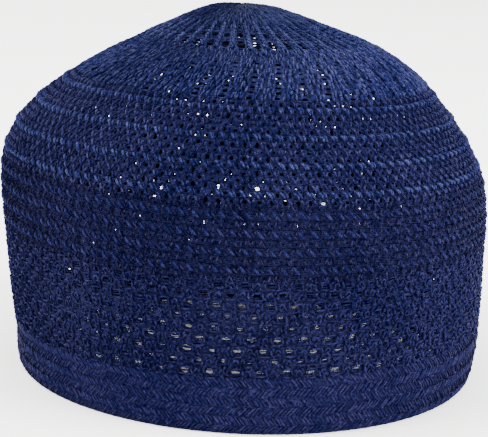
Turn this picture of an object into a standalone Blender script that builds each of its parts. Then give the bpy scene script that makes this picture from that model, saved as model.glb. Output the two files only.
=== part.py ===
"""Kufi: a round knitted cap with a rim band, a lace band, a close band, a net and a ribbed, windowed crown.

Metres, Z up. The cap stands on its rim at Z 0, its middle is over the origin, and -Y is the front.
Every ring lies on one outline, given below as shares of the named sizes. The outline is walked by its
arc length from the rim to the tip, and each wall is that outline and its copy set in by the wall thickness.
Each piece covers one stretch of the outline, and a small gap is left where two pieces meet.
"""
import bmesh
import bpy
import numpy as np

# Named sizes, metres
CAP_WIDTH = 0.1864
CAP_HEIGHT = 0.138
RIM_DEPTH = 0.0210
LACE_DEPTH = 0.0345
CLOSE_DEPTH = 0.0248
RIM_THICKNESS = 0.0028
WALL_THICKNESS = 0.0018
CROWN_THICKNESS = 0.0016
PIECE_GAP = 0.0003

# Share of the outline's arc length at which the crown begins
CROWN_START_SHARE = 0.624

# Counts round the cap
LACE_EYELETS_PER_ROW = 38
BODY_COLUMNS = 2 * LACE_EYELETS_PER_ROW
CROWN_RIBS = 44

# Openings, metres, and the share of a rib's pitch that a crown window takes
EYELET_WIDTH = 0.0040
EYELET_HEIGHT = 0.0040
WINDOW_SHARE = 0.42

# Relief and softness, metres
RIB_RISE = 0.0005
COURSE_RIDGE = 0.00035
HEM_RIDGE = 0.0004
LEAN = 0.0050
WAVE = 0.0006

# Outline from the rim to the tip: height as a share of CAP_HEIGHT, radius as a share of half CAP_WIDTH
OUTLINE_COLUMNS = ("height_share", "radius_share")
OUTLINE = (
    (0.000, 0.935),
    (0.022, 0.950),
    (0.065, 0.957),
    (0.138, 0.968),
    (0.225, 0.979),
    (0.319, 0.988),
    (0.413, 0.995),
    (0.500, 0.997),
    (0.580, 0.981),
    (0.652, 0.935),
    (0.710, 0.873),
    (0.761, 0.800),
    (0.804, 0.725),
    (0.845, 0.638),
    (0.883, 0.543),
    (0.916, 0.440),
    (0.946, 0.327),
    (0.971, 0.232),
    (0.988, 0.160),
    (0.998, 0.100),
    (1.000, 0.000),
)

# Sideways lean of the soft upper part: height share, share of LEAN towards -X
LEAN_COLUMNS = ("height_share", "lean_share")
LEAN_TABLE = (
    (0.00, 0.00),
    (0.10, -0.12),
    (0.22, 0.08),
    (0.34, 0.26),
    (0.45, 0.42),
    (0.54, 0.64),
    (0.62, 0.90),
    (0.69, 1.00),
    (0.76, 0.82),
    (0.83, 0.30),
    (0.90, 0.05),
    (0.96, 0.80),
    (1.00, 1.30),
)

# Rings of the rim band: share of its depth from the floor, share of HEM_RIDGE raised there
RIM_RING_COLUMNS = ("share", "ridge_share")
RIM_RINGS = (
    (0.00, 0.0),
    (0.12, 0.0),
    (0.38, 0.0),
    (0.65, 1.0),
    (0.76, 0.0),
    (1.00, 0.0),
)

# Rows of eyelets in the lace band: share of its depth at the row's middle, offset in eyelet pitches
EYELET_ROW_COLUMNS = ("share", "offset")
EYELET_ROWS = (
    (0.41, 0),
    (0.73, 1),
)

# Rings of the close band and of the net: share of the band's stretch of outline, share of COURSE_RIDGE
# raised there
BAND_RING_COLUMNS = ("share", "ridge_share")
CLOSE_RINGS = (
    (0.00, 0.4),
    (0.38, 0.0),
    (0.70, 0.6),
    (1.00, -0.4),
)
NET_RINGS = (
    (0.00, -0.4),
    (0.15, 1.0),
    (0.31, -0.6),
    (0.47, 1.0),
    (0.64, -0.6),
    (0.82, 0.8),
    (1.00, 0.0),
)

# Rings of the ribbed crown: share of its stretch of outline, share of RIB_RISE raised at the ribs
CROWN_RING_COLUMNS = ("share", "rib_share")
CROWN_RINGS = (
    (0.000, 0.4),
    (0.090, 1.0),
    (0.185, 1.0),
    (0.300, 0.7),
    (0.412, 0.6),
    (0.592, 0.6),
    (0.677, 0.4),
)
# Index in CROWN_RINGS of the ring under the windows
WINDOW_RING = 4
# Rings of the tip, with one column for each rib: share of the crown's stretch of outline
TIP_RINGS = (0.745, 0.825, 0.905)


def outline_points(samples=900):
    """Heights, radii and arc lengths of the outline, by a Catmull-Rom curve through OUTLINE."""
    table = np.array(OUTLINE) * (CAP_HEIGHT, 0.5 * CAP_WIDTH)
    before = 2.0 * table[0] - table[1]
    after = table[-2] * (1.0, -1.0)
    points = np.vstack([before, table, after])
    place = np.linspace(0.0, len(table) - 1.000001, samples)
    index = place.astype(int)
    share = (place - index)[:, None]
    p0, p1, p2, p3 = (points[index + k] for k in range(4))
    curve = 0.5 * (2.0 * p1 + (p2 - p0) * share + (2.0 * p0 - 5.0 * p1 + 4.0 * p2 - p3) * share ** 2
                   + (3.0 * p1 - p0 - 3.0 * p2 + p3) * share ** 3)
    arcs = np.concatenate([[0.0], np.cumsum(np.hypot(*np.diff(curve, axis=0).T))])
    return curve[:, 0], np.maximum(curve[:, 1], 0.0), arcs


HEIGHTS, RADII, ARCS = outline_points()
TOTAL_ARC = ARCS[-1]

# Where the pieces meet, as arc lengths from the rim
RIM_TOP = RIM_DEPTH
LACE_TOP = RIM_TOP + LACE_DEPTH
CLOSE_TOP = LACE_TOP + CLOSE_DEPTH
CROWN_START = CROWN_START_SHARE * TOTAL_ARC


def ring(arc, angles, depth, raised):
    """Points round the cap at one arc length, set in by depth and raised along the outline's normal."""
    height = np.interp(arc, ARCS, HEIGHTS)
    radius = np.interp(arc, ARCS, RADII)
    step = TOTAL_ARC / len(ARCS)
    rise = np.interp(arc + step, ARCS, HEIGHTS) - np.interp(arc - step, ARCS, HEIGHTS)
    run = np.interp(arc + step, ARCS, RADII) - np.interp(arc - step, ARCS, RADII)
    length = np.hypot(rise, run)
    out_radius, out_height = rise / length, -run / length
    if arc <= 0.0:
        out_radius, out_height = 1.0, 0.0
    offset = raised - depth
    share = height / CAP_HEIGHT
    fade = np.sin(np.pi * np.clip(share, 0.0, 1.0)) ** 2
    wave = WAVE * fade * (np.cos(2.0 * angles + 0.6) + 0.6 * np.cos(3.0 * angles - 0.4))
    reach = radius + wave + out_radius * offset
    lean = -LEAN * np.interp(share, *np.array(LEAN_TABLE).T)
    x = reach * np.sin(angles) + lean
    y = -reach * np.cos(angles)
    z = height + out_height * offset + np.zeros_like(angles)
    return np.stack([x, y, z], axis=1)


def add_mesh(name, points, faces, colour):
    """A named object from points and faces, with outward normals and its own material."""
    mesh = bpy.data.meshes.new(name)
    mesh.from_pydata([tuple(p) for p in points], [], [tuple(f) for f in faces])
    work = bmesh.new()
    work.from_mesh(mesh)
    bmesh.ops.recalc_face_normals(work, faces=work.faces)
    work.to_mesh(mesh)
    work.free()
    material = bpy.data.materials.new(name + "_knit")
    material.use_nodes = True
    shader = material.node_tree.nodes["Principled BSDF"]
    shader.inputs["Base Color"].default_value = colour
    shader.inputs["Roughness"].default_value = 0.7
    mesh.materials.append(material)
    made = bpy.data.objects.new(name, mesh)
    bpy.context.scene.collection.objects.link(made)
    return made


class Shell:
    """Two matching grids of rings, outer and inner, joined into one closed wall."""

    def __init__(self):
        self.points = []
        self.faces = []

    def add_ring(self, points):
        start = len(self.points)
        self.points.extend(points)
        return list(range(start, start + len(points)))

    def band(self, low, high, missing=()):
        """Quads between two rings with the same number of points, without the missing columns."""
        count = len(low)
        for column in range(count):
            if column in missing:
                continue
            after = (column + 1) % count
            self.faces.append((low[column], low[after], high[after], high[column]))

    def hole_walls(self, outer_low, outer_high, inner_low, inner_high, missing):
        """The four walls of every missing column, from the outer skin to the inner skin."""
        count = len(outer_low)
        for column in missing:
            after = (column + 1) % count
            outer = (outer_low[column], outer_low[after], outer_high[after], outer_high[column])
            inner = (inner_low[column], inner_low[after], inner_high[after], inner_high[column])
            for edge in range(4):
                other = (edge + 1) % 4
                self.faces.append((outer[edge], outer[other], inner[other], inner[edge]))

    def three_to_one(self, low, high):
        """Joins a ring to one with a third of its points."""
        count = len(high)
        for group in range(count):
            first = 3 * group
            after = (first + 3) % len(low)
            near, far = high[group], high[(group + 1) % count]
            self.faces.append((low[first], low[first + 1], near))
            self.faces.append((low[first + 1], low[first + 2], far, near))
            self.faces.append((low[first + 2], low[after], far))

    def fan(self, rim, point):
        """Triangles from a ring to one point."""
        top = self.add_ring([point])[0]
        for column in range(len(rim)):
            self.faces.append((rim[column], rim[(column + 1) % len(rim)], top))


def even_angles(count, offset=0.0):
    """Angles of a ring of evenly spaced points, the front one at offset pitches."""
    return (np.arange(count) + offset) * 2.0 * np.pi / count


def stretch(low, high, shares):
    """Arc lengths at shares of the outline's stretch from low to high."""
    return [low + (high - low) * share for share in shares]


def build_wall(name, arcs, ridges, thickness, colour, eyelets=None):
    """A closed wall between the first and last arc, with its ridges and any rows of eyelets cut through.

    eyelets gives, for the index of the ring under a row, the first of the columns that are cut.
    """
    eyelets = eyelets or {}
    shell = Shell()
    outer, inner = [], []
    for row, (arc, ridge) in enumerate(zip(arcs, ridges)):
        angles = even_angles(BODY_COLUMNS)
        for low_ring, first in eyelets.items():
            if row in (low_ring, low_ring + 1):
                angles = eyelet_angles(arc, first)
        outer.append(shell.add_ring(ring(arc, angles, 0.0, ridge)))
        inner.append(shell.add_ring(ring(arc, angles, thickness, 0.0)))
    for row in range(len(arcs) - 1):
        missing = []
        if row in eyelets:
            missing = [(2 * k + eyelets[row]) % BODY_COLUMNS for k in range(LACE_EYELETS_PER_ROW)]
        shell.band(outer[row], outer[row + 1], missing)
        shell.band(inner[row], inner[row + 1], missing)
        shell.hole_walls(outer[row], outer[row + 1], inner[row], inner[row + 1], missing)
    shell.band(outer[0], inner[0])
    shell.band(outer[-1], inner[-1])
    return add_mesh(name, shell.points, shell.faces, colour)


def eyelet_angles(arc, first):
    """Angles of a ring whose points are drawn together to the sides of its eyelets."""
    half = 0.5 * EYELET_WIDTH / np.interp(arc, ARCS, RADII)
    middle = even_angles(LACE_EYELETS_PER_ROW, 0.5 * first + 0.25)
    pairs = np.roll(np.stack([middle - half, middle + half], axis=1).ravel(), first)
    pairs[:first] -= 2.0 * np.pi
    return pairs


def build_rim_band():
    """The firm band: a closed wall from the floor to the lace, with a low ridge at the hem line."""
    shares, ridges = np.array(RIM_RINGS).T
    arcs = stretch(0.0, RIM_TOP, shares)
    return build_wall("rim_band", arcs, HEM_RIDGE * ridges, RIM_THICKNESS, (0.028, 0.040, 0.135, 1.0))


def build_lace_band():
    """The lace band: a closed wall with staggered rows of eyelets cut through."""
    low, high = RIM_TOP + PIECE_GAP, LACE_TOP
    arcs = [low]
    eyelets = {}
    for share, first in EYELET_ROWS:
        middle = low + (high - low) * share
        eyelets[len(arcs)] = first
        arcs += [middle - 0.5 * EYELET_HEIGHT, middle + 0.5 * EYELET_HEIGHT]
    arcs.append(high)
    ridges = np.zeros(len(arcs))
    return build_wall("lace_band", arcs, ridges, WALL_THICKNESS, (0.024, 0.036, 0.140, 1.0), eyelets)


def build_close_band():
    """The close band: a closed wall with low ridges along its courses, round the widest part."""
    shares, ridges = np.array(CLOSE_RINGS).T
    arcs = stretch(LACE_TOP + PIECE_GAP, CLOSE_TOP, shares)
    return build_wall("close_band", arcs, COURSE_RIDGE * ridges, WALL_THICKNESS, (0.020, 0.030, 0.120, 1.0))


def build_net_band():
    """The net over the shoulder: a closed wall with low ridges along its courses, up to the crown."""
    shares, ridges = np.array(NET_RINGS).T
    arcs = stretch(CLOSE_TOP + PIECE_GAP, CROWN_START - PIECE_GAP, shares)
    return build_wall("net_band", arcs, COURSE_RIDGE * ridges, WALL_THICKNESS, (0.024, 0.036, 0.150, 1.0))


def build_crown():
    """The ribbed cone: grooves between ribs, a ring of tall windows between them, and the closed tip."""
    shell = Shell()
    pitch = 2.0 * np.pi / CROWN_RIBS
    places = np.array([-0.5 * WINDOW_SHARE, 0.5 * WINDOW_SHARE, 0.5])
    angles = ((np.arange(CROWN_RIBS)[:, None] + places[None, :]) * pitch).ravel()
    lift = np.tile([0.0, 0.0, 1.0], CROWN_RIBS)
    shares, ribs = np.array(CROWN_RINGS).T
    outer, inner = [], []
    for arc, share in zip(stretch(CROWN_START, TOTAL_ARC, shares), ribs):
        outer.append(shell.add_ring(ring(arc, angles, 0.0, RIB_RISE * share * lift)))
        inner.append(shell.add_ring(ring(arc, angles, CROWN_THICKNESS, 0.0)))
    windows = [3 * rib for rib in range(CROWN_RIBS)]
    for row in range(len(CROWN_RINGS) - 1):
        missing = windows if row == WINDOW_RING else []
        shell.band(outer[row], outer[row + 1], missing)
        shell.band(inner[row], inner[row + 1], missing)
        shell.hole_walls(outer[row], outer[row + 1], inner[row], inner[row + 1], missing)
    shell.band(outer[0], inner[0])
    tip_lean = -LEAN * LEAN_TABLE[-1][1]
    tip_arcs = stretch(CROWN_START, TOTAL_ARC, TIP_RINGS)
    for skin, depth in ((outer, 0.0), (inner, CROWN_THICKNESS)):
        tip = [shell.add_ring(ring(arc, even_angles(CROWN_RIBS), depth, 0.0)) for arc in tip_arcs]
        shell.three_to_one(skin[-1], tip[0])
        for row in range(len(tip) - 1):
            shell.band(tip[row], tip[row + 1])
        shell.fan(tip[-1], (tip_lean, 0.0, CAP_HEIGHT - depth))
    return add_mesh("crown", shell.points, shell.faces, (0.026, 0.038, 0.155, 1.0))


def centre_on_origin(pieces):
    """Moves the meshes together so that the middle of the whole cap's box is over the origin."""
    corners = np.array([vertex.co for piece in pieces for vertex in piece.data.vertices])
    middle = 0.5 * (corners.min(axis=0) + corners.max(axis=0))
    for piece in pieces:
        for vertex in piece.data.vertices:
            vertex.co.x -= middle[0]
            vertex.co.y -= middle[1]


for old in list(bpy.data.objects):
    bpy.data.objects.remove(old, do_unlink=True)
centre_on_origin([build_rim_band(), build_lace_band(), build_close_band(), build_net_band(), build_crown()])
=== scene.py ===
"""Kufi looks: the cap's knitted fabric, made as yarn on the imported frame.

Every stitch is placed on the cap by three numbers: its arc length up the outline from the rim, its angle
round the cap with the front at nought, and its lift off the outer face. A zone of the fabric is a table of
rows, and each row repeats a few short strands round the cap.
"""
import math

import bpy
import numpy as np
from mathutils import Matrix, Vector


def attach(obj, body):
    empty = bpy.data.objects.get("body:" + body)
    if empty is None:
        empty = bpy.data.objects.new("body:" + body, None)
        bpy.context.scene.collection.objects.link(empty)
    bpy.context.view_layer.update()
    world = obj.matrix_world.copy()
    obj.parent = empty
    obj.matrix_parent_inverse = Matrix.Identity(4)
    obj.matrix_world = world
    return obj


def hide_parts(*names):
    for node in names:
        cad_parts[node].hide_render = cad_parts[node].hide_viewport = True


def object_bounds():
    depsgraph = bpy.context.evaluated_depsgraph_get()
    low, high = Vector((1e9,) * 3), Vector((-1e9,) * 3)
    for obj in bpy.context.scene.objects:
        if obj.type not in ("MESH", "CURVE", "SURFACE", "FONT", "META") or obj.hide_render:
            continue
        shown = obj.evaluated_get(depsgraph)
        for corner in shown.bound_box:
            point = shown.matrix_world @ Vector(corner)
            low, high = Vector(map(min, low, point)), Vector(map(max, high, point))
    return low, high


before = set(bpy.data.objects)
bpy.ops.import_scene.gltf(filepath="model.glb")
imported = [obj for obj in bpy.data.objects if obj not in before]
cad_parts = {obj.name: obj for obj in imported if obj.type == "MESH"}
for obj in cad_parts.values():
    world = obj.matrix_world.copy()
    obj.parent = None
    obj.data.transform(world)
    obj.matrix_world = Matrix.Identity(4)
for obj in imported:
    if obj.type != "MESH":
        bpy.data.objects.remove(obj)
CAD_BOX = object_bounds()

bl_info = {
    "name": "Knitted kufi",
    "version": (1, 0, 0),
    "blender": (4, 5, 0),
    "location": "3D View > Sidebar > Kufi",
    "description": "Dresses the cap's frame with knitted yarn",
    "category": "Object",
}

MM = 0.001
TAU = 2.0 * math.pi

# The cap's own sizes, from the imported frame
CAP_WIDTH = CAD_BOX[1].x - CAD_BOX[0].x
CAP_HEIGHT = CAD_BOX[1].z - CAD_BOX[0].z

# How far the soft wall leans and waves, up to where the rim stands upright, and the least height over the floor
LEAN = 5.0 * MM
WAVE = 0.6 * MM
UPRIGHT_FOOT = 4.0 * MM
FLOOR_GAP = 0.02 * MM

# Each strand's U starts at its number times this, in mm of yarn, so that the material can tell strands apart.
# Numbers stay below STRAND_NUMBERS, and each is STRAND_HOP more than the one before it.
STRAND_STEP = 50.0
STRAND_NUMBERS = 61
STRAND_HOP = 23

# The UV map of ground and lining: U for each radian round the cap, and mm of arc for each turn of V
SKIN_U = 7.0
SKIN_V = 1.2

# Where the knitting changes, as arc lengths from the rim
RIM_FOOT = 0.3 * MM
RIM_TOP = 21.0 * MM
LACE_TOP = 55.5 * MM
CLOSE_TOP = 80.3 * MM
NET_TOP = 121.1 * MM
LADDER_TOP = 142.1 * MM
WINDOW_LOW = 149.4 * MM
WINDOW_TOP = 168.5 * MM

# Outline from the rim to the tip: height as a share of the cap's, radius as a share of half its width
OUTLINE = (
    (0.000, 0.935),
    (0.022, 0.950),
    (0.065, 0.957),
    (0.138, 0.968),
    (0.225, 0.979),
    (0.319, 0.988),
    (0.413, 0.995),
    (0.500, 0.997),
    (0.580, 0.981),
    (0.652, 0.935),
    (0.710, 0.873),
    (0.761, 0.800),
    (0.804, 0.725),
    (0.845, 0.638),
    (0.883, 0.543),
    (0.916, 0.440),
    (0.946, 0.327),
    (0.971, 0.232),
    (0.988, 0.160),
    (0.998, 0.100),
    (1.000, 0.000),
)

# Sideways lean of the soft upper part: height share, share of LEAN towards -X
LEAN_TABLE = (
    (0.00, 0.00),
    (0.10, -0.12),
    (0.22, 0.08),
    (0.34, 0.26),
    (0.45, 0.42),
    (0.54, 0.64),
    (0.62, 0.90),
    (0.69, 1.00),
    (0.76, 0.82),
    (0.83, 0.30),
    (0.90, 0.05),
    (0.96, 0.80),
    (1.00, 1.30),
)

# How much higher a course runs on the right than on the left: share of the outline, half the difference in mm
TILT_TABLE = (
    (0.00, 0.0),
    (0.11, 2.2),
    (0.29, 0.0),
    (0.55, -1.5),
    (0.80, 0.0),
    (1.00, 0.0),
)

# The knit: 132 stitches round the body, which is two for each eyelet and three for each crown rib
STITCHES = 132
EYELETS = STITCHES // 2
RIBS = STITCHES // 3
RIM_ROWS = 6
RIM_INSIDE_ROWS = 7
LADDER_ROWS = 8
TIGHT_ROWS = 3
TIP_ROWS = 6

# Half widths in mm along a strand that is thin where it dives and full where it shows
FULL = np.array([0.35, 0.80, 1.0, 0.80, 0.35])

# The rim's three plies to a slanted leaf: thickness as a share of the common one, lift of the middle in mm
RIM_PLIES = (
    (1.12, 0.02),
    (0.92, -0.08),
    (0.86, -0.12),
)

# Rows of eyelets from the rim up: middle in mm of arc, how open each eyelet is
LACE_ROWS = (
    (22.9, 0.95),
    (26.8, 0.55),
    (30.4, 0.95),
    (34.6, 1.00),
    (38.6, 0.70),
    (42.6, 0.55),
    (46.6, 1.00),
    (50.6, 0.90),
    (53.7, 0.80),
)
LOWER_LACE_ROWS = len(LACE_ROWS) // 2
EYELET_OFFSET = -0.315
EYELET_DRIFT = 0.553

# An eyelet's half width and half height in mm: when shut, and how much more when open
EYELET_WIDE = (0.35, 1.10)
EYELET_TALL = (0.25, 0.90)

# Small loops on all sides of the arch between two eyelets: across in pitches, up in rows, lean, lift in mm
LACE_LOOPS = (
    (0.50, -0.10, 0.02, 0.05),
    (0.31, 0.22, 0.05, 0.12),
    (0.70, 0.24, 0.05, 0.05),
    (0.31, -0.24, -0.05, 0.05),
    (0.69, -0.20, -0.05, 0.15),
    (0.42, -0.44, 0.05, 0.0),
    (0.60, -0.46, -0.06, 0.10),
)
LOOP_WIDE = np.array([0.22, 0.40, 0.40, 0.22])
LOOP_THICK = np.array([0.20, 0.34, 0.34, 0.20])
ARCH_WIDE = np.array([0.26, 0.32, 0.36, 0.36, 0.36, 0.32, 0.26])
ARCH_TURN = 2.1

# Fine threads across an eyelet, dark strands as painted shade that dim what is seen through it: up in rows,
# slope; and their half widths in mm in the lower and upper rows
LACE_THREADS = (
    (-0.15, 0.05),
    (0.01, 0.05),
    (0.16, -0.05),
)
THREAD_WIDE = (0.20, 0.21)
UPPER_THREADS_FROM = 5

# The close band: its first row, the height of a row, and how many there are
CLOSE_FIRST, CLOSE_ROW, CLOSE_ROWS = 56.0 * MM, 3.03 * MM, 9

# Its small strands on a plain row and on a row of leaves: lean, reach in rows, across, up, lift in mm
CLOSE_DOTS = (
    ((0.10, 0.34, 0.04, 0.06, 0.15), (-0.13, 0.40, 0.26, -0.06, 0.0), (0.07, 0.28, 0.46, 0.10, 0.25)),
    ((-0.22, 0.30, 0.45, -0.08, 0.12), (0.08, 0.24, 0.58, 0.24, 0.18)),
)

# The net: its first row, the distance to the second, how that grows, and the number of rows
NET_FIRST, NET_ROW, NET_GROWTH, NET_ROWS = 82.0 * MM, 2.28 * MM, 0.028 * MM, 15
RIDGE_EVERY, RIDGE_START = 4, 1

# Half sizes of the net's holes in mm, on even and odd rows
NET_HOLES = ((0.68, 0.80), (0.48, 0.58))

# The two legs of a net stitch on a plain row and on a ridge: lean, reach in rows, lift in mm, across,
# fullness across and through in mm, sides
NET_LEGS = (
    ((-0.14, 0.49, 0.05, -0.14, 0.26, 0.26, 4), (0.12, 0.47, -0.05, 0.17, 0.28, 0.28, 3)),
    ((-0.20, 0.49, 0.40, -0.14, 0.38, 0.40, 4), (-0.14, 0.47, 0.25, 0.17, 0.28, 0.28, 3)),
)

# Upright strands of a crown rib: across in pitches, slant, lift in mm, up in rows
LADDER_STRANDS = (
    (0.18, -0.02, 0.20, 0.0),
    (0.31, 0.03, 0.05, 0.0),
    (0.44, -0.02, 0.15, 0.0),
    (0.57, 0.03, 0.05, 0.15),
    (0.70, -0.03, 0.10, 0.15),
    (0.82, 0.02, 0.20, 0.15),
)

# Strands of the tight ring: across in half pitches, slant
TIGHT_STRANDS = ((-0.27, -0.06), (0.27, 0.06), (0.5, -0.06))

# Rings of windows in the crown: foot and head in mm of arc, half width and half height of each opening in mm
WINDOWS = (
    (149.4, 157.2, 1.55, 3.10),
    (157.2, 163.6, 1.20, 2.00),
    (163.6, 168.5, 0.75, 0.95),
)
WINDOW_THREADS = ((-0.18, -0.05), (0.02, 0.05), (0.22, 0.05))

# Long strands of the tip, which start at uneven heights: across in pitches, shift up in mm, lift in mm
TIP_STRANDS = ((0.5, -1.2, 0.30), (0.83, 0.0, 0.14), (0.17, 1.2, 0.22))

# Each zone's colours as sRGB: where the yarn lies deep, painted shade, where it catches the light, a painted
# highlight, and the least and most of that light on single strands. Both are shades of the yarn's navy dye.
# Zones differ partly in painted light: each ground is a darker copy, painted shade for fabric that lies
# deeper; the net's ridges are a lighter copy, painted light on rows that stand out; the crown's ladders and
# windows are lighter, painted light from above
EVEN, UNEVEN = (0.6, 1.4), (0.35, 1.60)
DYE_AND_PAINTED_LIGHT = {
    "rim": ("060829", "242343", UNEVEN),
    "lace": ("040628", "242446", EVEN),
    "lace_ground": ("02031c", "21213f", UNEVEN),
    "close": ("030422", "272643", (0.2, 1.7)),
    "close_ground": ("02031c", "1b1b38", UNEVEN),
    "close_leaves": ("030527", "212244", EVEN),
    "net": ("040627", "2b2b4d", UNEVEN),
    "net_ridges": ("060a2f", "31355b", EVEN),
    "net_ground": ("030520", "1f1f3c", UNEVEN),
    "ladders": ("060930", "323558", UNEVEN),
    "ladder_ground": ("050829", "272a4a", UNEVEN),
    "windows": ("05092a", "2f3356", UNEVEN),
    "window_ground": ("050829", "272a4a", UNEVEN),
    "tip": ("050825", "212544", UNEVEN),
}

# The yarn: three plies to a turn of 2.2 mm, of which two show round a strand, and how deep they are cut in
PLIES, PLY_TURN, PLIES_ROUND, PLY_DEPTH = 3.0, 2.2, 2.0, 0.14 * MM
PLY_STRENGTH = 0.8
# Painted shade in each ply's groove and painted light on its crest: the least and most share of the lit colour
GROOVE_LIGHT = (0.40, 1.35)

# Random unevenness between painted shade and painted highlight, to the metre: patches about 40 mm across, and
# flecks of about 1 mm that count for more
PATCH_SCALE, FLECK_SCALE, FLECK_WEIGHT = 25.0, 900.0, 3.5
PAINTED_LIGHT_RANGE = (1.65, 3.05)

# The photograph's frame and the camera that it was taken with
PHOTO_WIDTH, PHOTO_HEIGHT = 488, 437
AIM_PIXEL = (250.8, 202.8)
SENSOR = 36.0
FOCAL_PIXELS = 1448.0
CAMERA_DISTANCE = 0.561
CAMERA_ELEVATION = math.radians(11.6)
CAMERA_AIM_HEIGHT = 0.062
CAMERA_ROLL = math.radians(2.55)

# The studio: lights as name, place, side in metres and watts, the white room's strength and the floor's reach
LIGHTS = (
    ("key_light", (2.8, -0.8, 1.7), 2.0, 350.0),
    ("fill_light", (-2.6, -0.9, 2.6), 2.0, 330.0),
)
ROOM_STRENGTH = 3.6
FLOOR_REACH = 12.0
FLOOR_ROUGHNESS = 0.9


def outline_points(samples=1200):
    """Heights, radii and arc lengths of the outline, by a Catmull-Rom curve through OUTLINE."""
    table = np.array(OUTLINE) * (CAP_HEIGHT, 0.5 * CAP_WIDTH)
    before = 2.0 * table[0] - table[1]
    after = table[-2] * (1.0, -1.0)
    points = np.vstack([before, table, after])
    # The end stays a hair short of the last point, so that each sample has a point after it
    along = np.linspace(0.0, len(table) - 1.000001, samples)
    index = along.astype(int)
    share = (along - index)[:, None]
    p0, p1, p2, p3 = (points[index + k] for k in range(4))
    curve = 0.5 * (2.0 * p1 + (p2 - p0) * share + (2.0 * p0 - 5.0 * p1 + 4.0 * p2 - p3) * share ** 2
                   + (3.0 * p1 - p0 - 3.0 * p2 + p3) * share ** 3)
    arcs = np.concatenate([[0.0], np.cumsum(np.hypot(*np.diff(curve, axis=0).T))])
    return curve[:, 0], np.maximum(curve[:, 1], 0.0), arcs


HEIGHTS, RADII, ARCS = outline_points()
TOTAL_ARC = ARCS[-1]
OUT_RADIUS = np.gradient(HEIGHTS, ARCS)
OUT_HEIGHT = -np.gradient(RADII, ARCS)


def surface(arc, angle, lift):
    """Points on the cap: the outline turned by angle and pushed out by lift along its normal.

    WAVE times two waves and three smaller ones round the cap is added to the radius, fading as the squared
    sine of the height towards rim and tip, and LEAN times its table moves the height's ring along -X.
    """
    height = np.interp(arc, ARCS, HEIGHTS) + np.minimum(arc, 0.0)
    radius = np.interp(arc, ARCS, RADII)
    out_radius = np.interp(arc, ARCS, OUT_RADIUS)
    out_height = np.where(arc < UPRIGHT_FOOT, 0.0, np.interp(arc, ARCS, OUT_HEIGHT))
    share = np.clip(height / CAP_HEIGHT, 0.0, 1.0)
    fade = np.sin(np.pi * share) ** 2
    wave = WAVE * fade * (np.cos(2.0 * angle + 0.6) + 0.6 * np.cos(3.0 * angle - 0.4))
    reach = radius + wave + out_radius * lift
    lean = -LEAN * np.interp(share, *np.array(LEAN_TABLE).T)
    return np.stack([reach * np.sin(angle) + lean, -reach * np.cos(angle), height + out_height * lift], axis=-1)


def box_middle():
    """The middle of the turned outline's own box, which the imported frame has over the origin."""
    arc, angle = np.meshgrid(ARCS[::8], np.linspace(0.0, TAU, 361))
    points = surface(arc, angle, 0.0).reshape(-1, 3)
    middle = 0.5 * (points.min(axis=0) + points.max(axis=0))
    return np.array([middle[0], middle[1], 0.0])


BOX_MIDDLE = box_middle()


def place(arc, angle, lift):
    """Points of the fabric: the surface, with each course raised by its tilt times sin(angle)."""
    tilt = np.interp(arc / TOTAL_ARC, *np.array(TILT_TABLE).T) * MM
    return surface(arc + tilt * np.sin(angle), angle, lift) - BOX_MIDDLE


def radius_at(arc):
    """The cap's outer radius at an arc length."""
    return np.interp(arc, ARCS, RADII)


def unit(vectors):
    """Vectors of length one along the last axis."""
    return vectors / np.maximum(np.linalg.norm(vectors, axis=-1, keepdims=True), 1e-12)


def tubes(paths, wide, thick, closed=False, sides=5):
    """Yarn along each path: an ellipse, wide along the fabric and thick across it, carried along the points.

    paths is strands by points by (arc, angle, lift); wide and thick are half widths for each point.
    Returns vertices, faces as lists of index arrays, and the two numbers of each vertex along and round.
    """
    arc, angle, lift = (paths[..., k] for k in range(3))
    centre = place(arc, angle, lift)
    outward = unit(place(arc, angle, lift + 0.2 * MM) - centre)
    if closed:
        tangent = np.roll(centre, -1, axis=1) - np.roll(centre, 1, axis=1)
    else:
        tangent = np.gradient(centre, axis=1)
    tangent = unit(tangent)
    across = unit(np.cross(tangent, outward))
    up = np.cross(across, tangent)
    turn = TAU * (np.arange(sides) + 0.5) / sides
    wide = np.broadcast_to(wide, centre.shape[:2])[..., None, None]
    thick = np.broadcast_to(thick, centre.shape[:2])[..., None, None]
    ring = (across[:, :, None, :] * np.cos(turn)[None, None, :, None] * wide
            + up[:, :, None, :] * np.sin(turn)[None, None, :, None] * thick)
    vertices = (centre[:, :, None, :] + ring).reshape(-1, 3)
    vertices[:, 2] = np.maximum(vertices[:, 2], FLOOR_GAP)
    strands, points = centre.shape[:2]
    index = np.arange(strands * points * sides).reshape(strands, points, sides)
    low = index if closed else index[:, :-1]
    high = np.roll(index, -1, axis=1) if closed else index[:, 1:]
    quads = np.stack([low, high, np.roll(high, -1, axis=2), np.roll(low, -1, axis=2)], axis=-1).reshape(-1, 4)
    if closed:
        caps = []
        length = np.linspace(0.0, 1.0, points, endpoint=False)[None, :] * points
    else:
        caps = [index[:, 0, :], index[:, -1, ::-1]]
        step = np.linalg.norm(np.diff(centre, axis=1), axis=-1)
        length = np.concatenate([np.zeros((strands, 1)), np.cumsum(step, axis=1)], axis=1) / MM
        number = (np.arange(strands) * STRAND_HOP + int(arc.flat[0] / (0.01 * MM))) % STRAND_NUMBERS
        length = length + STRAND_STEP * number[:, None]
    along = np.broadcast_to(length[..., None], (strands, points, sides)).reshape(-1)
    around = np.broadcast_to(turn / TAU, (strands, points, sides)).reshape(-1)
    return vertices, [quads] + caps, np.stack([along, around], axis=1)


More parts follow.
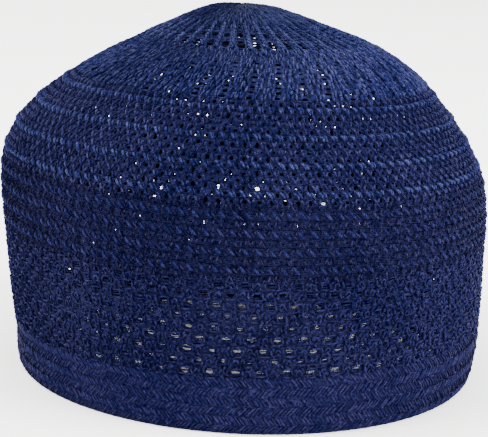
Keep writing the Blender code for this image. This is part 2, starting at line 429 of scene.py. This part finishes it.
def pierced(low, high, count, offset, wide, tall, lift, thickness, random, corners=16, funnel=0.1, uneven=0.12):
    """One row of ground fabric with an oval hole in each place: a closed thin ring round the cap.

    Each place is four loops of points: its edge and its hole on the outer skin, and the same on the
    inner one. A loop's points lie at even turns; the edge's are pushed out to the place's rectangle.
    wide and tall are the hole's half sizes in mm, and funnel is how far its rim sinks.
    """
    turn = TAU * np.arange(corners) / corners
    cos, sin = np.cos(turn), np.sin(turn)
    reach = np.maximum(np.abs(cos), np.abs(sin))
    middle, half = 0.5 * (low + high), 0.5 * (high - low)
    pitch = TAU / count
    place_angle = ((np.arange(count) + offset) * pitch)[:, None]
    grow = 1.0 + random.normal(0.0, uneven, (count, 2, 1))
    drift = random.normal(0.0, 0.10 * MM, (count, 2, 1))
    edge_angle = place_angle + 0.5 * pitch * (cos / reach)[None, :]
    edge_arc = middle + half * (sin / reach)[None, :] + 0.0 * place_angle
    hole_angle = place_angle + (wide * MM * grow[:, 0] * cos[None, :] + drift[:, 0]) / radius_at(middle)
    hole_arc = middle + tall * MM * grow[:, 1] * sin[None, :] + drift[:, 1]
    loops = [place(edge_arc, edge_angle, lift * MM), place(hole_arc, hole_angle, (lift - funnel) * MM),
             place(hole_arc, hole_angle, (lift - thickness) * MM),
             place(edge_arc, edge_angle, (lift - thickness) * MM)]
    vertices = np.stack(loops).reshape(-1, 3)
    vertices[:, 2] = np.maximum(vertices[:, 2], FLOOR_GAP)
    index = np.arange(4 * count * corners).reshape(4, count, corners)
    # The left edge of each place is the right edge of the one before
    eighth = corners // 8
    left = np.arange(3 * eighth, 5 * eighth + 1)
    right = (4 * eighth - left) % corners
    for loop in (0, 3):
        index[loop][:, left] = np.roll(index[loop], 1, axis=0)[:, right]
    after = np.roll(index, -1, axis=2)
    skins = [np.stack([index[k], after[k], after[k + 1], index[k + 1]], axis=-1).reshape(-1, 4)
             for k in range(3)]
    # Walls close the ring's foot and head, where a place's edge is level
    ends = np.stack([index[3], after[3], after[0], index[0]], axis=-1)
    level = np.concatenate([np.arange(eighth, 3 * eighth), np.arange(5 * eighth, 7 * eighth)])
    faces = np.concatenate(skins + [ends[:, level].reshape(-1, 4)])
    used, faces = np.unique(faces, return_inverse=True)
    arcs = np.stack([edge_arc, hole_arc, hole_arc, edge_arc]).ravel() / MM
    angles = np.stack([edge_angle, hole_angle, hole_angle, edge_angle]).ravel()
    uv = np.stack([angles * SKIN_U, arcs / SKIN_V], axis=1)
    return vertices[used], [faces.reshape(-1, 4)], uv[used]


def build_mesh(name, parts, material, node):
    """One object from several sets of vertices and faces, riding the cap and standing for its node."""
    vertices, corners, totals, uvs = [], [], [], []
    start = 0
    for points, faces, along in parts:
        for face in faces:
            corners.append((face + start).reshape(-1))
            totals.append(np.full(len(face), face.shape[1]))
            uvs.append(along[face.reshape(-1)])
        vertices.append(points)
        start += len(points)
    vertices = np.concatenate(vertices).astype(np.float32)
    corners = np.concatenate(corners).astype(np.int32)
    totals = np.concatenate(totals).astype(np.int32)
    mesh = bpy.data.meshes.new(name)
    mesh.vertices.add(len(vertices))
    mesh.vertices.foreach_set("co", vertices.ravel())
    mesh.loops.add(len(corners))
    mesh.loops.foreach_set("vertex_index", corners)
    mesh.polygons.add(len(totals))
    mesh.polygons.foreach_set("loop_start", np.concatenate([[0], np.cumsum(totals)[:-1]]).astype(np.int32))
    mesh.polygons.foreach_set("loop_total", totals)
    layer = mesh.uv_layers.new(name="Yarn")
    layer.uv.foreach_set("vector", np.concatenate(uvs).astype(np.float32).ravel())
    mesh.update(calc_edges=True)
    mesh.polygons.foreach_set("use_smooth", np.ones(len(totals), dtype=bool))
    mesh.validate(verbose=False)
    mesh.materials.append(material)
    made = bpy.data.objects.new(name, mesh)
    bpy.context.scene.collection.objects.link(made)
    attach(made, "root")
    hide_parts(node)
    return made


class Knit:
    """Collects the strands and the ground of one zone, with a little of the unevenness of real stitches."""

    def __init__(self, seed):
        self.parts = []
        self.ground = []
        self.random = np.random.default_rng(seed)

    def stitches(self, arc, row, count, shape, wide, thick, offset=0.0, every=None, scale=1.0, uneven=1.0,
                 sides=5):
        """Repeats one strand round the cap.

        shape holds points as (across in pitches, up in rows, lift in mm); wide and thick are half
        widths in mm at each of those points. every picks some of the places, as an array of indices.
        """
        shape = np.array(shape, dtype=float)
        index = np.arange(count) if every is None else np.asarray(every)
        pitch = TAU / count
        strands, points = len(index), len(shape)
        shift = self.random.normal(0.0, 0.035 * uneven, (strands, 1))
        drop = self.random.normal(0.0, 0.045 * uneven, (strands, 1))
        swell = 1.0 + self.random.normal(0.0, 0.07 * uneven, (strands, 1))
        push = self.random.normal(0.0, 0.06 * uneven, (strands, 1))
        angle = (index[:, None] + offset + shape[None, :, 0] + shift) * pitch
        up = arc + (shape[None, :, 1] + drop) * row
        lift = (shape[None, :, 2] + push) * MM * np.ones((strands, points))
        paths = np.stack([up, angle, lift], axis=-1)
        wide = np.broadcast_to(wide, points)[None, :] * swell * MM * scale
        thick = np.broadcast_to(thick, points)[None, :] * swell * MM * scale
        self.parts.append(tubes(paths, wide, thick, sides=sides))


def leaf(across, up, high, low):
    """Five points of a straight strand from one end to the other, high in the middle and low at the ends."""
    t = np.linspace(-1.0, 1.0, 5)
    return np.stack([across * t, up * t, low + (high - low) * (1.0 - t ** 2)], axis=1)


def lining(name, low, high, depth, thickness, count, rows, bump, material, node):
    """The inner face of the fabric: a closed thin wall whose inside shows the courses as rows of small bumps.

    Both skins are grids of arc by angle, with a lift of minus the depth, and a bump of
    cos(stitch angle) times the size of sin(row) on the inner skin.
    """
    across, up = count * 2, rows * 3 + 1
    arc, angle = np.meshgrid(np.linspace(low, high, up), np.arange(across) * TAU / across, indexing="ij")
    course = (arc - low) / (high - low) * rows
    swell = bump * np.abs(np.sin(np.pi * course)) * (0.65 + 0.35 * np.cos(count * angle))
    outer = place(arc, angle, -depth)
    inner = place(arc, angle, -depth - thickness - swell)
    vertices = np.concatenate([outer.reshape(-1, 3), inner.reshape(-1, 3)])
    index = np.arange(up * across).reshape(up, across)
    after = np.roll(index, -1, axis=1)
    skin = np.stack([index[:-1], after[:-1], after[1:], index[1:]], axis=-1).reshape(-1, 4)
    other = index.size
    ends = [np.stack([index[0] + other, after[0] + other, after[0], index[0]], axis=-1),
            np.stack([index[-1], after[-1], after[-1] + other, index[-1] + other], axis=-1)]
    faces = [skin, skin[:, ::-1] + other] + ends
    uv = np.stack([np.tile(angle.ravel() * SKIN_U, 2), np.tile(course.ravel(), 2)], axis=1)
    return build_mesh(name, [(vertices, faces, uv)], material, node)


def hex_linear(text):
    """An sRGB hex colour as linear red, green, blue and one."""
    values = [int(text[k:k + 2], 16) / 255.0 for k in (0, 2, 4)]
    return tuple(v / 12.92 if v <= 0.04045 else ((v + 0.055) / 1.055) ** 2.4 for v in values) + (1.0,)


def add_node(tree, kind, links=(), numbered=(), **settings):
    """Adds a node and sets it up: settings are properties or inputs by name, numbered holds pairs of an
    input's number and value, and links holds pairs of an output socket and this node's input.
    """
    node = tree.nodes.new(kind)
    for key, value in settings.items():
        if hasattr(node, key):
            setattr(node, key, value)
        else:
            node.inputs[key.replace("_", " ")].default_value = value
    for number, value in numbered:
        node.inputs[number].default_value = value
    for output, name in links:
        tree.links.new(output, node.inputs[name])
    return node


def nylon_yarn(name, deep, lit, spread, roughness, shine):
    """Twisted nylon yarn, dyed navy: a soft satin thread whose plies show as fine slanted lines.

    The colour runs from deep, painted shade, to lit, a painted highlight, by a random share times the strand's
    own light times the painted shade and light of the ply's groove.
    """
    material = bpy.data.materials.new(name)
    material.use_nodes = True
    tree = material.node_tree
    shader = tree.nodes["Principled BSDF"]
    shader.inputs["Roughness"].default_value = roughness
    shader.inputs["Specular IOR Level"].default_value = shine
    shader.inputs["Specular Tint"].default_value = hex_linear("d8dcff")
    where = add_node(tree, "ShaderNodeTexCoord")
    along = add_node(tree, "ShaderNodeUVMap", uv_map="Yarn")
    # Plies: slanted grooves, the sine of the turns along the yarn plus those round it
    parts = add_node(tree, "ShaderNodeSeparateXYZ", [(along.outputs["UV"], "Vector")])
    turns = add_node(tree, "ShaderNodeMath", [(parts.outputs["X"], 0)], [(1, TAU * PLIES / PLY_TURN)],
                     operation="MULTIPLY")
    plies = add_node(tree, "ShaderNodeMath", [(parts.outputs["Y"], 0)], [(1, TAU * PLIES_ROUND)],
                     operation="MULTIPLY")
    phase = add_node(tree, "ShaderNodeMath", [(turns.outputs[0], 0), (plies.outputs[0], 1)], operation="ADD")
    wave = add_node(tree, "ShaderNodeMath", [(phase.outputs[0], 0)], operation="SINE")
    bump = add_node(tree, "ShaderNodeBump", [(wave.outputs[0], "Height")], Strength=PLY_STRENGTH,
                    Distance=PLY_DEPTH)
    tree.links.new(bump.outputs["Normal"], shader.inputs["Normal"])
    # The ply's groove painted darker and its crest lighter: painted shade and painted light over the bump
    ply_painted_shade_and_light = add_node(tree, "ShaderNodeMapRange", [(wave.outputs[0], "Value")], From_Min=-1.0, From_Max=1.0,
                      To_Min=GROOVE_LIGHT[0], To_Max=GROOVE_LIGHT[1])
    # Random patches, flecks, and a share for each strand by itself set how far each spot goes from painted
    # shade to painted highlight
    patches = add_node(tree, "ShaderNodeTexNoise", [(where.outputs["Object"], "Vector")], Scale=PATCH_SCALE,
                       Detail=1.0)
    flecks = add_node(tree, "ShaderNodeTexNoise", [(where.outputs["Object"], "Vector")], Scale=FLECK_SCALE,
                      Detail=2.0)
    mixed = add_node(tree, "ShaderNodeMath", [(flecks.outputs["Fac"], 0), (patches.outputs["Fac"], 2)],
                     [(1, FLECK_WEIGHT)], operation="MULTIPLY_ADD")
    share = add_node(tree, "ShaderNodeMapRange", [(mixed.outputs[0], "Value")], From_Min=PAINTED_LIGHT_RANGE[0],
                     From_Max=PAINTED_LIGHT_RANGE[1], To_Min=0.0, To_Max=1.0)
    strand = add_node(tree, "ShaderNodeMath", [(parts.outputs["X"], 0)], [(1, STRAND_STEP)],
                      operation="DIVIDE")
    number = add_node(tree, "ShaderNodeMath", [(strand.outputs[0], 0)], operation="FLOOR")
    own = add_node(tree, "ShaderNodeTexWhiteNoise", [(number.outputs[0], "W")], noise_dimensions="1D")
    dyed = add_node(tree, "ShaderNodeMapRange", [(own.outputs["Value"], "Value")], From_Min=0.0, From_Max=1.0,
                    To_Min=spread[0], To_Max=spread[1])
    light = add_node(tree, "ShaderNodeMath", [(share.outputs["Result"], 0), (dyed.outputs["Result"], 1)],
                     operation="MULTIPLY")
    lined = add_node(tree, "ShaderNodeMath", [(light.outputs[0], 0), (ply_painted_shade_and_light.outputs["Result"], 1)],
                     operation="MULTIPLY")
    ramp = add_node(tree, "ShaderNodeMix", [(lined.outputs[0], "Factor")],
                    [(6, hex_linear(deep)), (7, hex_linear(lit))], data_type="RGBA")
    tree.links.new(ramp.outputs[2], shader.inputs["Base Color"])
    return material


class KufiSizes(bpy.types.PropertyGroup):
    """Sizes and colours that someone would change."""

    yarn: bpy.props.FloatProperty(
        name="Yarn", description="Thickness of every strand as a share of the real yarn's", default=1.0,
        min=0.6, max=1.4)
    shine: bpy.props.FloatProperty(
        name="Shine", description="How strongly the nylon mirrors the light", default=0.012, min=0.0, max=1.0,
        subtype="FACTOR")
    roughness: bpy.props.FloatProperty(
        name="Roughness", description="How dull the nylon is", default=0.5, min=0.0, max=1.0, subtype="FACTOR")
    floor_colour: bpy.props.FloatVectorProperty(
        name="Floor", description="Colour of the floor", subtype="COLOR", size=4, min=0.0, max=1.0,
        default=hex_linear("f4f4f2"))


def yarn_material(zone):
    """The yarn's material for one zone, from its dye and painted light and the chosen roughness and shine."""
    sizes = bpy.context.scene.kufi_sizes
    return nylon_yarn("nylon_yarn_dye_and_painted_light_" + zone, *DYE_AND_PAINTED_LIGHT[zone], sizes.roughness, sizes.shine)


def ground_mesh(name, knits, node):
    """The pierced ground under the stitches, in a darker copy of the yarn: painted shade for fabric that lies
    deeper.
    """
    parts = [part for knit in knits for part in knit.ground]
    return build_mesh(name, parts, yarn_material(name), node)


class KUFI_OT_rim_band(bpy.types.Operator):
    """Knits the rim band in herringbone rows, with its turned edge"""
    bl_idname = "kufi.rim_band"
    bl_label = "Rim band"

    def execute(self, context):
        material = yarn_material("rim")
        scale = context.scene.kufi_sizes.yarn
        knit = Knit(11)
        row = (RIM_TOP - RIM_FOOT) / RIM_ROWS
        count = STITCHES * len(RIM_PLIES)
        for r in range(RIM_ROWS):
            slope = 0.50 if r % 2 == 0 else -0.50
            for ply, (swell, high) in enumerate(RIM_PLIES):
                knit.stitches(RIM_FOOT + (r + 0.5) * row, row, count, leaf(1.10, slope, high, -0.48),
                              swell * (0.22 * FULL + 0.26), swell * (0.16 * FULL + 0.16),
                              every=np.arange(ply, count, len(RIM_PLIES)), scale=scale, uneven=1.6, sides=3)
        # The turned edge: one thick strand round the foot that swells inwards at each stitch
        turn = np.arange(STITCHES * 4) / 4.0
        edge = np.stack([np.full_like(turn, 0.60 * MM), turn * TAU / STITCHES,
                         (-0.75 + 0.1 * np.cos(TAU * turn)) * MM], axis=-1)
        knit.parts.append(tubes(edge[None], 0.58 * MM, 0.60 * MM, closed=True, sides=6))
        build_mesh("rim_stitches", knit.parts, material, "rim_band")
        lining("rim_inside", 0.1 * MM, RIM_TOP - 0.1 * MM, depth=0.6 * MM, thickness=1.2 * MM, count=STITCHES,
               rows=RIM_INSIDE_ROWS, bump=0.5 * MM, material=material, node="rim_band")
        return {"FINISHED"}


class KUFI_OT_lace_band(bpy.types.Operator):
    """Knits the lace band: rows of eyelets in a fine fabric of small loops"""
    bl_idname = "kufi.lace_band"
    bl_label = "Lace band"

    def execute(self, context):
        material = yarn_material("lace")
        scale = context.scene.kufi_sizes.yarn
        middles = np.array(LACE_ROWS)[:, 0] * MM
        edges = np.concatenate([[RIM_TOP], 0.5 * (middles[1:] + middles[:-1]), [LACE_TOP]])
        knits = [Knit(23), Knit(29)]
        for r in range(len(LACE_ROWS)):
            self.row(knits[r >= LOWER_LACE_ROWS], r, 0.5 * (edges[r] + edges[r + 1]), edges[r + 1] - edges[r],
                     scale)
        for name, knit in zip(("lace_lower_stitches", "lace_upper_stitches"), knits):
            build_mesh(name, knit.parts, material, "lace_band")
        ground_mesh("lace_ground", knits, "lace_band")
        return {"FINISHED"}

    def row(self, knit, r, middle, height, scale):
        """One row: the ground with its eyelets, their sides and lids, and the small loops between them."""
        offset = EYELET_OFFSET + EYELET_DRIFT * r
        wide, tall = (least + more * LACE_ROWS[r][1] for least, more in (EYELET_WIDE, EYELET_TALL))
        knit.ground.append(pierced(middle - 0.51 * height, middle + 0.51 * height, EYELETS, offset, wide, tall,
                                   -0.75, 1.1, knit.random, funnel=0.2))
        gap = wide / (TAU * radius_at(middle) / EYELETS / MM)
        common = {"offset": offset, "scale": scale}
        t3, t5, t7 = (np.linspace(-1.0, 1.0, points) for points in (3, 5, 7))
        # Two short sides bowed round the gap, and the loops over and under it
        for side in (-1.0, 1.0):
            bow = np.stack([side * (gap + 0.075 + 0.02 * (1.0 - t5 ** 2)) - 0.02 * t5, 0.34 * t5,
                            -0.7 * t5 ** 2], axis=1)
            knit.stitches(middle, height, EYELETS, bow, 0.24 * FULL + 0.18, 0.24 * FULL + 0.18, uneven=1.8,
                          sides=3, **common)
        for over in (-1.0, 1.0):
            lid = np.stack([(gap + 0.06) * t5, over * (tall * MM / height + 0.12 - 0.07 * t5 ** 2) + 0.03 * t5,
                            -0.1 - 0.6 * t5 ** 2], axis=1)
            knit.stitches(middle, height, EYELETS, lid, 0.32, 0.32, uneven=1.8, sides=3, **common)
        # The arch midway between two gaps, and small leaning loops on all sides of it
        arch = np.stack([0.5 + 0.095 * np.sin(t7 * ARCH_TURN), 0.30 * np.cos(t7 * ARCH_TURN) + 0.02,
                         0.20 - 0.8 * t7 ** 4], axis=1)
        knit.stitches(middle, height, EYELETS, arch, ARCH_WIDE, ARCH_WIDE, sides=4, **common)
        for across, up, lean, lift in LACE_LOOPS:
            loop = leaf(lean, 0.20, lift, -0.85)[[0, 1, 3, 4]] + (across, up, 0.0)
            knit.stitches(middle, height, EYELETS, loop, LOOP_WIDE, LOOP_THICK, uneven=2.2, sides=3, **common)
        thread_wide = THREAD_WIDE[r >= UPPER_THREADS_FROM]
        # Threads across each eyelet: painted shade, dark strands that dim what is seen through it
        for up, slope in LACE_THREADS:
            thread = np.stack([(gap + 0.10) * t3, up + slope * t3, np.full(3, -0.90)], axis=1)
            knit.stitches(middle, height, EYELETS, thread, thread_wide, thread_wide, uneven=2.2, sides=3,
                          **common)


class KUFI_OT_close_band(bpy.types.Operator):
    """Knits the close rows of slanted leaves and small dots above the lace"""
    bl_idname = "kufi.close_band"
    bl_label = "Close band"

    def execute(self, context):
        scale = context.scene.kufi_sizes.yarn
        knit, leaves = Knit(37), Knit(41)
        for r in range(CLOSE_ROWS):
            middle = CLOSE_FIRST + r * CLOSE_ROW
            offset = 0.1 * r
            low = LACE_TOP if r == 0 else middle - 0.52 * CLOSE_ROW
            high = CLOSE_TOP if r == CLOSE_ROWS - 1 else middle + 0.5 * CLOSE_ROW
            common = {"offset": offset, "scale": scale}
            if r % 2:
                knit.ground.append(pierced(low, high, EYELETS, 0.5 * offset, 0.20, 0.20, -0.85, 0.5,
                                           knit.random, corners=8, uneven=0.3))
                leaves.stitches(middle, CLOSE_ROW, STITCHES, leaf(-0.29, 0.46, 0.34, -0.9),
                                0.50 * FULL + 0.08, 0.42 * FULL + 0.10, **common)
            else:
                knit.ground.append(pierced(low, high, STITCHES, offset + 0.72, 0.30, 0.36, -0.95, 0.4,
                                           knit.random, corners=8, uneven=0.2))
            for lean, reach, across, up, lift in CLOSE_DOTS[r % 2]:
                knit.stitches(middle, CLOSE_ROW, STITCHES, leaf(lean, reach, lift, -0.85) + (across, up, 0.0),
                              0.26 * FULL + 0.08, 0.26 * FULL + 0.10, uneven=1.5, sides=3, **common)
        build_mesh("close_stitches", knit.parts, yarn_material("close"), "close_band")
        ground_mesh("close_ground", [knit], "close_band")
        build_mesh("close_leaves", leaves.parts, yarn_material("close_leaves"), "close_band")
        return {"FINISHED"}


def net_arc(r):
    """Arc length of the net's row r from the lowest: even spacing plus NET_GROWTH times r squared."""
    return NET_FIRST + NET_ROW * r + NET_GROWTH * r * r


class KUFI_OT_net(bpy.types.Operator):
    """Knits the net: rows of two-legged stitches with a small hole beside each, ridged every fourth row"""
    bl_idname = "kufi.net"
    bl_label = "Net"

    def execute(self, context):
        scale = context.scene.kufi_sizes.yarn
        knit, ridges = Knit(53), Knit(67)
        for r in range(NET_ROWS):
            self.row(knit, ridges, r, scale)
        build_mesh("net_stitches", knit.parts, yarn_material("net"), "net_band")
        # The ridges' yarn is a lighter copy of the net's: painted light on the rows that stand out
        build_mesh("net_ridges", ridges.parts, yarn_material("net_ridges"), "net_band")
        ground_mesh("net_ground", [knit], "net_band")
        return {"FINISHED"}

    def row(self, knit, ridges, r, scale):
        """One row: the ground with its small holes, and two legs to a stitch, fatter and raised on a ridge."""
        middle, height = net_arc(r), net_arc(r + 0.5) - net_arc(r - 0.5)
        share = radius_at(middle) / (0.5 * CAP_WIDTH)
        offset = 0.5 * (r % 2)
        wide, tall = NET_HOLES[r % 2]
        low = CLOSE_TOP if r == 0 else middle - 0.51 * height
        knit.ground.append(pierced(low, middle + 0.51 * height, STITCHES, offset + 0.5, wide * share, tall,
                                   -0.8, 0.5, knit.random, corners=8, uneven=0.25))
        ridge = r % RIDGE_EVERY == RIDGE_START
        legs = ridges if ridge else knit
        for lean, reach, lift, across, leg_wide, leg_thick, sides in NET_LEGS[ridge]:
            legs.stitches(middle, height, STITCHES, leaf(lean, reach, lift, -0.95) + (across, 0.0, 0.0),
                          leg_wide * FULL + 0.18, leg_thick * FULL + 0.18, offset=offset,
                          scale=scale * (0.40 + 0.60 * share), uneven=1.2, sides=sides)


def crown_phase(arc):
    """How far the crown's ladders and windows have turned by an arc length, in ribs."""
    return float(np.interp(arc, (NET_TOP, LADDER_TOP, WINDOW_LOW, TOTAL_ARC), (0.0, 0.08, 0.2, 0.2)))


class KUFI_OT_crown(bpy.types.Operator):
    """Knits the crown: ladders between ribs, a tight ring, the open windows and the gathered tip"""
    bl_idname = "kufi.crown"
    bl_label = "Crown"

    def execute(self, context):
        scale = context.scene.kufi_sizes.yarn
        self.ladders(scale)
        self.windows(scale)
        self.tip(scale)
        return {"FINISHED"}

    def ladders(self, scale):
        """Ribs of upright stitches with a ladder of rungs after each, and the tight ring above them."""
        knit = Knit(71)
        row = (LADDER_TOP - NET_TOP) / LADDER_ROWS
        for r in range(LADDER_ROWS):
            middle = NET_TOP + (r + 0.5) * row
            share = radius_at(middle) / radius_at(NET_TOP)
            phase = crown_phase(middle)
            low = net_arc(NET_ROWS - 0.5) if r == 0 else middle - 0.51 * row
            knit.ground.append(pierced(low, middle + 0.51 * row, RIBS, phase, 1.35 * share, 0.62, -0.7, 0.4,
                                       knit.random, uneven=0.25))
            for across, slant, lift, up in LADDER_STRANDS:
                knit.stitches(middle, row, RIBS, leaf(slant, 0.64, lift, -0.30) + (across, up, 0.0),
                              0.30 * FULL + 0.24, 0.28 * FULL + 0.2, offset=phase, scale=scale * share,
                              uneven=1.8, sides=3)
        row = (WINDOW_LOW - LADDER_TOP) / TIGHT_ROWS
        for r in range(TIGHT_ROWS):
            middle = LADDER_TOP + (r + 0.5) * row
            phase = 2.0 * crown_phase(middle) + 0.5 * (r % 2)
            knit.ground.append(pierced(middle - 0.51 * row, middle + 0.51 * row, RIBS * 2, phase, 0.30, 0.30,
                                       -0.7, 0.5, knit.random, corners=8, uneven=0.3))
            for across, slant in TIGHT_STRANDS:
                knit.stitches(middle, row, RIBS * 2, leaf(slant, 0.62, 0.10, -0.4) + (across, 0.0, 0.0),
                              0.26 * FULL + 0.2, 0.26 * FULL + 0.18, offset=phase, scale=0.72 * scale,
                              uneven=1.8, sides=3)
        # The ladders' yarn is lighter than the body's: painted light from above
        build_mesh("ladder_stitches", knit.parts, yarn_material("ladders"), "crown")
        ground_mesh("ladder_ground", [knit], "crown")

    def windows(self, scale):
        """Three rings of open windows, each smaller than the one below, between ribs of two twisted strands."""
        knit = Knit(83)
        t5, t9 = np.linspace(-1.0, 1.0, 5), np.linspace(-1.0, 1.0, 9)
        for low, high, wide, tall in WINDOWS:
            low, high = low * MM, high * MM
            middle, row = 0.5 * (low + high), high - low
            phase = crown_phase(middle)
            share = radius_at(middle) / radius_at(WINDOW_LOW)
            knit.ground.append(pierced(low, high + 0.1 * MM, RIBS, phase, wide, tall, -0.6, 0.7, knit.random,
                                       uneven=0.07))
            common = {"offset": phase, "scale": scale * (0.35 + 0.65 * share)}
            edge = wide * MM / radius_at(middle) * RIBS / TAU
            # The rib: two strands that wind round each other once and a half a row
            turns = 1.5 * np.pi * (t9 + 1.0)
            for start in (0.0, np.pi):
                twist = np.stack([0.5 + 0.09 * np.cos(turns + start), 0.5 * t9,
                                  0.05 + 0.28 * np.sin(turns + start)], axis=1)
                knit.stitches(middle, row, RIBS, twist, 0.46, 0.40, uneven=0.6, **common)
            # A strand down each side of a window, threads across it and a bar under it
            for side in (-1.0, 1.0):
                bow = np.stack([side * (edge + 0.05 - 0.04 * t9 ** 4), 0.48 * t9, -0.20 - 0.2 * t9 ** 4],
                               axis=1)
                knit.stitches(middle, row, RIBS, bow, 0.30, 0.30, uneven=0.5, sides=3, **common)
            for up, slope in WINDOW_THREADS:
                thread = np.stack([0.35 * t5, up + slope * t5, np.full(5, -0.62)], axis=1)
                knit.stitches(middle, row, RIBS, thread, 0.17, 0.17, uneven=1.5, sides=3, **common)
            bar = np.stack([0.45 * t9, -0.5 + 0.04 * t9 ** 2, -0.35 - 0.2 * t9 ** 2], axis=1)
            knit.stitches(middle, row, RIBS, bar, 0.34, 0.34, sides=3, **common)
        # The windows' yarn is lighter than the body's: painted light from above
        build_mesh("window_stitches", knit.parts, yarn_material("windows"), "crown")
        ground_mesh("window_ground", [knit], "crown")

    def tip(self, scale):
        """Strands that narrow as they gather to the middle of the closed tip, under a small knot."""
        material = yarn_material("tip")
        knit = Knit(97)
        end = TOTAL_ARC - 0.6 * MM
        foot = WINDOW_TOP - 0.5 * MM
        row = (end - foot) / TIP_ROWS
        for r in range(TIP_ROWS):
            middle = foot + (r + 0.5) * (end - foot) / TIP_ROWS
            size = scale * np.clip(radius_at(middle) / radius_at(WINDOW_TOP), 0.16, 1.0)
            for across, up, lift in TIP_STRANDS:
                knit.stitches(middle + up * MM, row, RIBS, leaf(0.04, 0.72, lift, -0.30) + (across, 0.0, 0.0),
                              0.26 * FULL + 0.30, 0.24 * FULL + 0.18, offset=crown_phase(middle) + 0.1 * r,
                              scale=size, uneven=1.8, sides=3)
        turn = np.linspace(0.0, TAU, 24, endpoint=False)
        knot = np.stack([np.full_like(turn, TOTAL_ARC - 0.60 * MM), turn, np.full_like(turn, -0.10 * MM)],
                        axis=-1)
        knit.parts.append(tubes(knot[None], 0.66 * MM, 0.50 * MM, closed=True, sides=6))
        build_mesh("tip_stitches", knit.parts, material, "crown")
        lining("tip_inside", WINDOW_TOP - 0.1 * MM, TOTAL_ARC - 0.1 * MM, depth=0.35 * MM, thickness=0.6 * MM,
               count=RIBS, rows=TIP_ROWS, bump=0.3 * MM, material=material, node="crown")


class KUFI_OT_stage(bpy.types.Operator):
    """Lays the pale floor, hangs the soft lights and sets the camera as the photograph had it"""
    bl_idname = "kufi.stage"
    bl_label = "Stage"

    def execute(self, context):
        self.floor(context)
        for name, spot, size, power in LIGHTS:
            self.light(context, name, spot, size, power)
        room = bpy.data.worlds.new("studio")
        room.use_nodes = True
        background = room.node_tree.nodes["Background"]
        background.inputs["Color"].default_value = hex_linear("ffffff")
        background.inputs["Strength"].default_value = ROOM_STRENGTH
        context.scene.world = room
        self.camera(context)
        return {"FINISHED"}

    def floor(self, context):
        """A wide square of matte paper, which takes the cap's soft shadow without a shine."""
        mesh = bpy.data.meshes.new("floor")
        corners = [(FLOOR_REACH * x, FLOOR_REACH * y, 0.0) for x, y in ((-1, -1), (1, -1), (1, 1), (-1, 1))]
        mesh.from_pydata(corners, [], [(0, 1, 2, 3)])
        paper = bpy.data.materials.new("matte_paper_floor")
        paper.use_nodes = True
        shader = paper.node_tree.nodes["Principled BSDF"]
        shader.inputs["Base Color"].default_value = tuple(context.scene.kufi_sizes.floor_colour)
        shader.inputs["Roughness"].default_value = FLOOR_ROUGHNESS
        mesh.materials.append(paper)
        floor = bpy.data.objects.new("floor", mesh)
        context.scene.collection.objects.link(floor)

    def light(self, context, name, spot, size, power):
        """A square soft light that faces the middle of the cap."""
        data = bpy.data.lights.new(name, "AREA")
        data.size = size
        data.energy = power
        lamp = bpy.data.objects.new(name, data)
        lamp.location = spot
        facing = Vector((0.0, 0.0, 0.5 * CAP_HEIGHT)) - Vector(spot)
        lamp.rotation_euler = facing.to_track_quat("-Z", "Y").to_euler()
        context.scene.collection.objects.link(lamp)

    def camera(self, context):
        """A camera at the photograph's angle, distance and turn."""
        data = bpy.data.cameras.new("camera")
        data.sensor_width = SENSOR
        data.lens = FOCAL_PIXELS * SENSOR / PHOTO_WIDTH
        camera = bpy.data.objects.new("camera", data)
        back = Vector((0.0, -math.cos(CAMERA_ELEVATION), math.sin(CAMERA_ELEVATION)))
        aim = Vector((0.0, 0.0, CAMERA_AIM_HEIGHT)) - Vector(BOX_MIDDLE)
        spot = aim + CAMERA_DISTANCE * back
        turn = Matrix.Rotation(CAMERA_ROLL, 2)
        across, up = turn @ Vector((0.5 * PHOTO_WIDTH - AIM_PIXEL[0], AIM_PIXEL[1] - 0.5 * PHOTO_HEIGHT))
        scale = CAMERA_DISTANCE / FOCAL_PIXELS
        target = aim + scale * (across * Vector((1.0, 0.0, 0.0)) + up * Vector((0.0, back.z, -back.y)))
        turned = (target - spot).to_track_quat("-Z", "Y").to_matrix().to_4x4()
        camera.matrix_world = Matrix.Translation(spot) @ turned @ Matrix.Rotation(CAMERA_ROLL, 4, "Z")
        context.scene.collection.objects.link(camera)
        context.scene.camera = camera


class KUFI_PT_panel(bpy.types.Panel):
    """Lists the cap's pieces and sizes"""
    bl_label = "Kufi"
    bl_idname = "KUFI_PT_panel"
    bl_space_type = "VIEW_3D"
    bl_region_type = "UI"
    bl_category = "Kufi"

    def draw(self, context):
        sizes = context.scene.kufi_sizes
        for name in ("yarn", "shine", "roughness", "floor_colour"):
            self.layout.prop(sizes, name)
        for operator in OPERATORS:
            self.layout.operator(operator.bl_idname)


OPERATORS = (KUFI_OT_rim_band, KUFI_OT_lace_band, KUFI_OT_close_band, KUFI_OT_net, KUFI_OT_crown, KUFI_OT_stage)
CLASSES = (KufiSizes,) + OPERATORS + (KUFI_PT_panel,)


def register():
    for cls in CLASSES:
        bpy.utils.register_class(cls)
    bpy.types.Scene.kufi_sizes = bpy.props.PointerProperty(type=KufiSizes)


def unregister():
    del bpy.types.Scene.kufi_sizes
    for cls in reversed(CLASSES):
        bpy.utils.unregister_class(cls)


def main():
    """Registers the add-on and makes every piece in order."""
    register()
    bpy.ops.kufi.rim_band()
    bpy.ops.kufi.lace_band()
    bpy.ops.kufi.close_band()
    bpy.ops.kufi.net()
    bpy.ops.kufi.crown()
    bpy.ops.kufi.stage()


if __name__ == "__main__":
    main()
